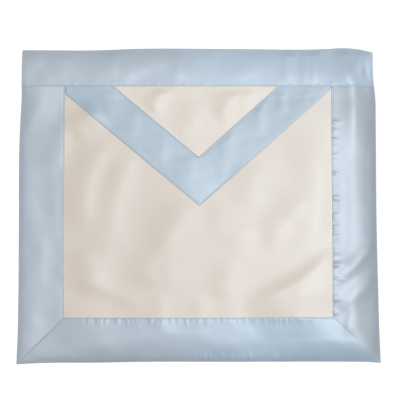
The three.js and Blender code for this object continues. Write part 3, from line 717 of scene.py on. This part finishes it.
def folded_ribbon(name, profile, side_of, material):
    """The wall of a folded ribbon and its line of stitches. Its seams are pressed on the outer
    side alone."""
    outer, measures = side_of(profile.outer_in, profile.outer_z, 1)
    inner, _ = side_of(profile.inner_in, profile.inner_z, 0)
    return wall(name, outer, inner, measures, material), [outer[:, STITCH_COLUMN]]


def mitre_fan():
    """Shares of the way from a border's mitre to its straight part, closer together at first."""
    fine = RIM_STEPS / BORDER_WIDTH
    return joined(fine, spaced(fine[-1], 1, FINE_STEP / BORDER_WIDTH))[:-1, None]


def border_relief(x, y, inward):
    """What lifts a border's front leaf off its plain section: its folds and its waviness."""
    fold = fold_height(BORDER_FOLDS, BORDER_FOLD, x, y)
    return ribbon_lift(inward, BORDER_WIDTH, fold + ripple(BORDER_RIPPLE, x, y))


def side_border(name, side, material, run):
    """A side border: the folded section carried from the mitre up into the waistband. Rows turn
    from the mitre's slant to level at the inner corner."""
    profile = folded_profile(BORDER_WIDTH, HEM_DEPTH, HEM_STEP)
    straight = spaced(BOTTOM_SEAM_Y, TUCK_TOP_Y, FINE_STEP)[:, None]

    def side_of(inward, height, pressed):
        """One side of the cloth: the section's height, the waistband's lift and, on the front
        leaf, the border's level, the drape and the relief, which fades at the waist."""
        mitre_y = inward - HALF_HEIGHT + MITRE_GAP
        y = np.concatenate([lerp(mitre_y, BOTTOM_SEAM_Y, mitre_fan()), straight + 0 * inward])
        x = side * (HALF_WIDTH - inward) + 0 * y
        seam = BORDER_WIDTH - inward
        relief = border_relief(x, y, inward) + puckers(run, y, seam)
        press = np.minimum(mitre_press(y - mitre_y, x), seam_press(seam))
        relief = relief * smooth((WAIST_SEAM_Y - y) / FOLD_ROOM) + pressed * press
        front = (border_level(inward) + drape(x, y) + relief) * profile.front
        px, py = drifted(x, y)
        return stacked(px, py, height + waistband_lift(y) + front), cloth_measures(y, inward)

    return folded_ribbon(name, profile, side_of, material)


def bottom_border(name, material):
    """The bottom border: the folded section carried from mitre to mitre, with its inner seam
    gathered and puckers along its folded edge."""
    profile = folded_profile(BORDER_WIDTH, HEM_DEPTH, HEM_STEP)
    straight = spaced(-SEAM_X, SEAM_X, FINE_STEP)[:, None]

    def side_of(inward, height, pressed):
        """One side of the cloth: the section's height and, on the front leaf, the border's level,
        the drape and the relief with its two sets of puckers."""
        mitre_x = HALF_WIDTH - inward - MITRE_GAP
        end = lerp(mitre_x, SEAM_X, mitre_fan())
        x = np.concatenate([-end, straight + 0 * inward, end[::-1]])
        y = inward - HALF_HEIGHT + 0 * x
        seam = BORDER_WIDTH - inward
        press = np.minimum(mitre_press(mitre_x - np.abs(x), x), seam_press(seam))
        relief = border_relief(x, y, inward) + pressed * press
        relief = relief + puckers(BOTTOM_SEAM_PUCKERS, x, seam)
        for run in BOTTOM_EDGE_PUCKERS:
            relief = relief + puckers(run, x, inward)
        front = (border_level(inward) + drape(x, y) + relief) * profile.front
        px, py = drifted(x, y)
        return stacked(px, py, height + front), cloth_measures(x, inward)

    return folded_ribbon(name, profile, side_of, material)


def waistband(name, material):
    """The waistband: its front leaf lies over the tucked ends, its back leaf lies underneath, and near
    its left end, which is hemmed, the groove of one more line of stitches is pressed in."""
    profile = folded_profile(WAISTBAND_DEPTH, WAISTBAND_BACK_DEPTH, BACK_STEP)
    straight = spaced(-HALF_WIDTH, HALF_WIDTH, FINE_STEP)[:, None]

    def side_of(down, height, pressed):
        """One side of the cloth: the section's height and, on the front leaf, the waistband's
        level, the drape and the relief."""
        x = straight + 0 * down
        y = HALF_HEIGHT - down + 0 * x
        fold = fold_height(WAISTBAND_FOLDS, WAISTBAND_FOLD, x, y) + ripple(WAISTBAND_RIPPLE, x, y)
        from_end = smooth((HALF_WIDTH - np.abs(x)) / FOLD_ROOM)
        seam = WAISTBAND_DEPTH - down
        press = np.minimum(seam_press(seam), groove(HALF_WIDTH + x - END_HEM + STITCH_INSET))
        relief = ribbon_lift(down, WAISTBAND_DEPTH, fold) * from_end
        relief = relief + puckers(WAIST_PUCKERS, x, seam) + pressed * press
        front = (waistband_level(x, y) + drape(x, y) + relief) * profile.front
        px, py = drifted(x, y)
        return stacked(px, py, height + front), cloth_measures(x, down)

    return folded_ribbon(name, profile, side_of, material)


def apron_panel(name, material):
    """The cream panel: it lies on the hems and takes the drape that runs through all layers."""
    edge_x = HALF_WIDTH - FOLD_ROOM
    edge_y = HALF_HEIGHT - FOLD_ROOM
    x = spaced(-edge_x, edge_x, CLOTH_STEP)[None, :]
    y = spaced(-edge_y, edge_y, CLOTH_STEP)[:, None]
    low = panel_level(x, y) + drape(x, y)
    px, py = drifted(x + 0 * y, y + 0 * x)
    return wall(
        name, stacked(px, py, low + PANEL), stacked(px, py, low), cloth_measures(x, y), material
    ), []


def flap_rows(step, *turns):
    """Heights of the flap's rows: one where its outline or level turns, and others between."""
    marks = sorted((TUCK_TOP_Y, HALF_HEIGHT - BACK_END, WAIST_SEAM_Y, *turns), reverse=True)
    return joined(*[spaced(high, low, step) for high, low in zip(marks, marks[1:])])[:, None]


def flap_panel(name, material):
    """The flap's cloth, just inside its ribbon's turned-down edge, with its own folds where it
    shows between the ribbons."""
    inset = SATIN + LAYER_GAP
    left, right = FLAP_EDGES
    y = flap_rows(CLOTH_STEP, left.corner_y, right.corner_y, INNER_Y, inset_tip(inset)[1] + SATIN)
    share = spaced(0, 1, CLOTH_STEP / (2 * FLAP_HALF_WIDTH))[None, :]
    x = lerp(left.outline_x(inset, y), right.outline_x(inset, y), share)
    fold = fold_height(FLAP_FOLDS, FLAP_FOLD, x, y) + FLAP_RIPPLE.rise + ripple(FLAP_RIPPLE, x, y)
    shown = smooth((inside_flap(x, y) - FLAP_RIBBON_WIDTH) / FOLD_ROOM)
    shown = shown * smooth((WAIST_SEAM_Y - y) / FOLD_ROOM)
    low = flap_level(y) + drape(x, y) + fold * shown
    px, py = drifted(x, y + 0 * x)
    return wall(
        name, stacked(px, py, low + FLAP), stacked(px, py, low), cloth_measures(x, y), material
    ), []


def stitch_line(edge, inset, y, across, outer):
    """The line of stitches at one distance inside the flap's edge: on each row of a ribbon's grid
    that shows, the point of its face at that place across."""
    at = edge.side * edge.outline_x(inset, y)[:, 0]
    shown = (y[:, 0] > inset_tip(inset)[1]) & (y[:, 0] < WAIST_SEAM_Y)
    return np.array([
        [np.interp(-at[row], -edge.side * across[row], outer[row, :, axis]) for axis in range(3)]
        for row in np.flatnonzero(shown)
    ])


def band_relief(edge, run, x, y, along, from_inner):
    """What lifts a flap ribbon off the flap's cloth: folds and waviness, which die away at its
    edge, at the mitre and at the waist, and puckers from both of its seams."""
    inside = edge.inside(x, y)
    fold = fold_height(BAND_FOLDS, BAND_FOLD, x, y) + BAND_RIPPLE.rise + ripple(BAND_RIPPLE, x, y)
    to_mitre = edge.side * (x - x[:, -1:])
    from_mitre = np.where(y > INNER_Y, smooth(to_mitre / FOLD_ROOM), 1)
    inner_run = run._replace(seed=run.seed + 1)
    relief = fold * smooth(inside / FOLD_ROOM) * from_mitre
    relief = relief + puckers(run, along, inside) + puckers(inner_run, along, from_inner)
    return relief * smooth((WAIST_SEAM_Y - y) / FOLD_ROOM)


def flap_band(name, edge, material, run):
    """One ribbon of the flap: it lies on the flap's cloth, its outer edge is turned down round
    the cloth's edge in a quarter circle, and its foot is cut on the mitre."""
    y = flap_rows(FINE_STEP, edge.corner_y, INNER_Y, TIP_Y + FLAP_FOOT)
    lip = LIP_STEPS[None, :]
    leaf = joined(spaced(0, LEAF_RIM_STEPS[0], LEAF_STEP), LEAF_RIM_STEPS)[None, 1:]
    is_leaf = np.concatenate([lip * 0, leaf * 0 + 1], 1)
    meet = edge.side * flap_mitre_x(y) + MITRE_GAP / 2
    inner_x = edge.side * np.maximum(edge.side * edge.line_x(FLAP_RIBBON_WIDTH, y), meet)
    outside = edge.outline_x(0, y)
    width = edge.side * (outside - inner_x)
    lip_wall = np.minimum(LIP_WALL / edge.turned, LIP_SHARE * width)
    leaf_in = lerp(lip_wall, width, leaf)
    x = outside - edge.side * np.concatenate([(1 - lip) * lip_wall, leaf_in], 1)
    under_x = outside - edge.side * np.concatenate([lip * 0 + lip_wall, leaf_in], 1)
    drop = np.concatenate([1 - np.sqrt(1 - lip**2), leaf * 0], 1) * (FLAP_RISE + SATIN)
    along = -edge.side * edge.normal_y * (x - TIP_X) + edge.turned * (y - TIP_Y)
    inside = edge.inside(x, y)
    from_inner = np.where(y > INNER_Y, FLAP_RIBBON_WIDTH - inside, FLAP_RIBBON_WIDTH)
    under = band_level(y) + drape(x, y) + band_relief(edge, run, x, y, along, from_inner) * is_leaf
    top = under + SATIN - drop + (groove(inside) + seam_press(from_inner)) * is_leaf
    under[:, 0] -= FLAP_RISE
    outer = stacked(*drifted(x, y + 0 * x), top)
    inner = stacked(*drifted(under_x, y + 0 * x), under)
    insets = (STITCH_INSET, FLAP_RIBBON_WIDTH - STITCH_INSET)
    lines = [stitch_line(edge, inset, y, x, outer) for inset in insets]
    return wall(name, outer, inner, cloth_measures(along, inside), material), lines


def along_path(path, length, places):
    """The points of a path at some distances along it."""
    return np.stack([np.interp(places, length, path[:, axis]) for axis in range(3)], -1)


def unit(vectors):
    """The same directions with a length of 1."""
    return vectors / np.linalg.norm(vectors, axis=1)[:, None]


def stitches(name, paths, material):
    """Rows of stitches: along each path, at an even pitch, a short thread that rises from the
    cloth and dips back into it as a parabola, with a round section of six sides that narrows
    towards its ends as an ellipse."""
    share = np.linspace(-1, 1, STITCH_RINGS)
    turn = 2 * math.pi * np.arange(THREAD_SIDES) / THREAD_SIDES
    thick = THREAD_RADIUS * np.sqrt(np.clip(1 + THREAD_END - share**2, THREAD_END, 1))[:, None]
    section_up = THREAD_RADIUS * (STITCH_TOP - STITCH_DIP * share**2)[:, None] + thick * np.sin(turn)
    section_out = thick * np.cos(turn)
    section_on = 0.5 * STITCH_LENGTH * share[:, None] + 0 * turn
    points, faces, used = [], [], 0
    for path in paths:
        steps = np.linalg.norm(np.diff(path, axis=0), axis=1)
        length = np.concatenate([[0], np.cumsum(steps)])
        centres = np.arange(0.5 * STITCH_PITCH, length[-1], STITCH_PITCH)
        place = along_path(path, length, centres)
        way = unit(along_path(path, length, centres + THREAD_AHEAD) - place)
        out = unit(np.cross([0, 0, 1.0], way))
        ring = place[:, None, None] + way[:, None, None] * section_on[None, :, :, None]
        ring = ring + np.cross(way, out)[:, None, None] * section_up[None, :, :, None]
        ring = ring + out[:, None, None] * section_out[None, :, :, None]
        index = used + np.arange(ring.size // 3).reshape(ring.shape[:3])
        turned = np.roll(index, -1, 2)
        tube = np.stack([index[:, :-1], turned[:, :-1], turned[:, 1:], index[:, 1:]], -1)
        faces.append(tube.reshape(-1, 4))
        for order in THREAD_CAP:
            faces.append(index[:, 0][:, order])
            faces.append(index[:, -1][:, order[::-1]])
        points.append(ring.reshape(-1, 3))
        used += index.size
    return new_piece(name, np.concatenate(points), np.concatenate(faces), material)


class Nodes:
    """Adds and links the nodes of one material."""

    def __init__(self, name):
        self.material = bpy.data.materials.new(name)
        self.material.use_nodes = True
        self.tree = self.material.node_tree
        self.shader = self.tree.nodes["Principled BSDF"]

    def add(self, kind, inputs=None, **settings):
        """A new node with its settings, and each input linked or set to a value."""
        node = self.tree.nodes.new(kind)
        for key, value in settings.items():
            setattr(node, key, value)
        for key, value in (inputs or {}).items():
            if isinstance(value, bpy.types.NodeSocket):
                self.tree.links.new(value, node.inputs[key])
            else:
                node.inputs[key].default_value = value
        return node

    def math(self, operation, a, b=0.0):
        """The result of one sum."""
        return self.add("ShaderNodeMath", {0: a, 1: b}, operation=operation).outputs[0]

    def noise(self, place, patches, detail):
        """A soft noise with so many patches to the metre."""
        settings = {"Vector": place, "Scale": patches, "Detail": detail}
        return self.add("ShaderNodeTexNoise", settings).outputs[0]

    def part(self, vector, axis):
        """One of a vector's three numbers."""
        return self.add("ShaderNodeSeparateXYZ", {0: vector}).outputs[axis]

    def place(self):
        """Where the point lies on the apron."""
        return self.add("ShaderNodeTexCoord").outputs["Object"]

    def link(self, value, socket):
        """Leads a value into the shader."""
        self.tree.links.new(value, self.shader.inputs[socket])

    def finish(self, values):
        """Sets what is the same all over on the shader's own sockets."""
        for socket, value in values.items():
            self.shader.inputs[socket].default_value = value
        return self.material


def woven(nodes, weave):
    """Bump of a woven cloth: two crossing sets of thin waves on the cloth's own measures, with
    a fine fluff laid over them."""
    measures = nodes.add("ShaderNodeUVMap", uv_map="cloth").outputs[0]
    height = nodes.math("MULTIPLY", nodes.noise(measures, FLUFF_PATCHES, 3.0), FLUFF_SHARE)
    for axis, share in enumerate(weave.shares):
        turn = nodes.math("MULTIPLY", nodes.part(measures, axis), 2 * math.pi / weave.thread)
        wave = nodes.math("MULTIPLY", nodes.math("SINE", turn), share)
        height = nodes.math("ADD", height, wave)
    settings = {"Strength": weave.strength, "Distance": weave.depth, "Height": height}
    nodes.link(nodes.add("ShaderNodeBump", settings).outputs[0], "Normal")
    return measures


def toned(nodes, tones, patches):
    """Colour that wanders between a dark and a light shade with a soft noise."""
    ramp = nodes.add("ShaderNodeValToRGB", {0: nodes.noise(nodes.place(), patches, 2.0)})
    for element, position, tone in zip(ramp.color_ramp.elements, TONE_ENDS, tones):
        element.position = position
        element.color = (*tone, 1)
    return ramp.outputs[0]


def socket_index(node, identifier):
    """The number of a node's input, found by its own name."""
    return [socket.identifier for socket in node.inputs].index(identifier)


def painted_light_across(nodes, colour, span, painted_light):
    """Colour multiplied by shares that pass from a left one to a right one between two places across
    the apron, which paints light that brightens it towards the right."""
    x = nodes.part(nodes.place(), 0)
    light_ramp = nodes.add(
        "ShaderNodeMapRange",
        {"Vector": nodes.add("ShaderNodeCombineXYZ", {0: x, 1: x, 2: x}).outputs[0]},
        data_type="FLOAT_VECTOR",
        interpolation_type="SMOOTHSTEP",
    )
    for socket, value in zip(("From_Min_FLOAT3", "From_Max_FLOAT3"), span):
        light_ramp.inputs[socket_index(light_ramp, socket)].default_value = (value,) * 3
    for socket, value in zip(("To_Min_FLOAT3", "To_Max_FLOAT3"), painted_light):
        light_ramp.inputs[socket_index(light_ramp, socket)].default_value = value
    share = nodes.add("ShaderNodeVectorMath", {0: colour, 1: light_ramp.outputs[1]}, operation="MULTIPLY")
    return share.outputs[0]


def satin_material(name, tones, painted_edge_shade, painted_light):
    """Pale blue satin: a soft gloss over a fine ribbed weave, with painted shade that darkens it a
    little towards the folded edge."""
    nodes = Nodes(name)
    inward = nodes.part(woven(nodes, SATIN_WEAVE), 1)
    colour = painted_light_across(nodes, toned(nodes, tones, SATIN_PATCHES), SATIN_PAINTED_LIGHT_SPAN, painted_light)
    # Painted shade: the base colour is darkened towards the folded edge, along a wandering line.
    drift = nodes.noise(nodes.place(), PAINTED_EDGE_SHADE_PATCHES, 1.0)
    wander = nodes.math("MULTIPLY", drift, PAINTED_EDGE_SHADE_WIDTH)
    reach = nodes.math("DIVIDE", nodes.math("SUBTRACT", inward, wander), PAINTED_EDGE_SHADE_WIDTH)
    low, high = PAINTED_EDGE_SHADE_ENDS
    settings = {0: reach, 1: low, 2: high, 3: 1 - painted_edge_shade, 4: 1.0}
    ramp = nodes.add("ShaderNodeMapRange", settings, interpolation_type="SMOOTHSTEP")
    painted_shade = nodes.add("ShaderNodeVectorMath", {0: colour}, operation="SCALE")
    nodes.tree.links.new(ramp.outputs[0], painted_shade.inputs["Scale"])
    nodes.link(painted_shade.outputs[0], "Base Color")
    return nodes.finish(SATIN_FINISH)


def cream_material(name, tones, painted_light):
    """Cream cloth: a plain weave with a soft gloss, with painted light that makes it brighter and
    bluer towards the right.
    """
    nodes = Nodes(name)
    woven(nodes, CREAM_WEAVE)
    colour = painted_light_across(nodes, toned(nodes, tones, CREAM_PATCHES), CREAM_PAINTED_LIGHT_SPAN, painted_light)
    nodes.link(colour, "Base Color")
    return nodes.finish(CREAM_FINISH)


def thread_material(name):
    """Sewing thread in the ribbon's colour, a little uneven."""
    nodes = Nodes(name)
    nodes.link(toned(nodes, THREAD_TONES, THREAD_PATCHES), "Base Color")
    return nodes.finish(THREAD_FINISH)


def square_light(lamp):
    """A square soft light that looks at the middle of the apron."""
    light = bpy.data.lights.new(lamp.name, "AREA")
    light.shape = "SQUARE"
    light.size = lamp.size
    light.energy = lamp.power
    light_object = bpy.data.objects.new(lamp.name, light)
    light_object.location = lamp.place
    light_object.rotation_euler = (-Vector(lamp.place)).to_track_quat("-Z", "Y").to_euler()
    bpy.context.scene.collection.objects.link(light_object)


def studio():
    """A plain pale floor, a large soft light overhead, a softer one to the left, and a camera
    straight above."""
    scene = bpy.context.scene
    edge = FLOOR_HALF
    corners = [(x * edge, y * edge, FLOOR_LEVEL) for x, y in ((-1, -1), (1, -1), (1, 1), (-1, 1))]
    paint = Nodes("floor_paint").finish(FLOOR_FINISH)
    new_piece("floor", corners, [(0, 1, 2, 3)], paint)
    for lamp in LAMPS:
        square_light(lamp)
    world = bpy.data.worlds.new("studio_air")
    world.use_nodes = True
    world.node_tree.nodes["Background"].inputs["Color"].default_value = (1, 1, 1, 1)
    world.node_tree.nodes["Background"].inputs["Strength"].default_value = AIR_LIGHT
    scene.world = world
    camera = bpy.data.objects.new("camera", bpy.data.cameras.new("camera"))
    camera.location = (*FRAME_CENTRE, CAMERA_HEIGHT)
    camera.data.sensor_width = SENSOR
    camera.data.lens = SENSOR * CAMERA_HEIGHT / (PIXELS * PIXEL)
    scene.collection.objects.link(camera)
    scene.camera = camera
    scene.view_settings.view_transform = "Standard"


studio()
# Every satin but the flap's has painted shade at its folded edge; the bottom and waist satins and both
# creams have painted light that brightens them towards the right; the flap's satin is painted darker
# and the flap's cream painted lighter than the same cloth elsewhere.
satin = satin_material("satin_ribbon", SATIN_TONES, PAINTED_EDGE_SHADE, NO_PAINTED_LIGHT)
bottom_satin = satin_material("bottom_satin_ribbon", SATIN_TONES, PAINTED_EDGE_SHADE, BOTTOM_PAINTED_LIGHT)
waist_satin = satin_material("waist_satin_ribbon", SATIN_TONES, PAINTED_EDGE_SHADE, WAIST_PAINTED_LIGHT)
flap_satin = satin_material("flap_satin_ribbon", FLAP_SATIN_SHADED_TONES, 0, NO_PAINTED_LIGHT)
cream = cream_material("cream_cloth", CREAM_TONES, CREAM_PAINTED_LIGHT)
flap_cream = cream_material("cream_flap_cloth", FLAP_CREAM_LIT_TONES, FLAP_CREAM_PAINTED_LIGHT)
thread = thread_material("ribbon_thread")

LEFT_EDGE, RIGHT_EDGE = FLAP_EDGES
made = {
    "apron_panel": apron_panel("cream_panel", cream),
    "left_border": side_border("left_ribbon", -1, satin, LEFT_PUCKERS),
    "right_border": side_border("right_ribbon", 1, satin, RIGHT_PUCKERS),
    "bottom_border": bottom_border("bottom_ribbon", bottom_satin),
    "waistband": waistband("waist_ribbon", waist_satin),
    "flap_panel": flap_panel("flap_cloth", flap_cream),
    "flap_band_left": flap_band("flap_ribbon_left", LEFT_EDGE, flap_satin, LEFT_BAND_PUCKERS),
    "flap_band_right": flap_band("flap_ribbon_right", RIGHT_EDGE, flap_satin, RIGHT_BAND_PUCKERS),
}
for node, (piece, _) in made.items():
    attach(piece, "root")
    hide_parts(node)

stitching = stitches("ribbon_stitches", [line for _, lines in made.values() for line in lines], thread)
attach(stitching, "root")
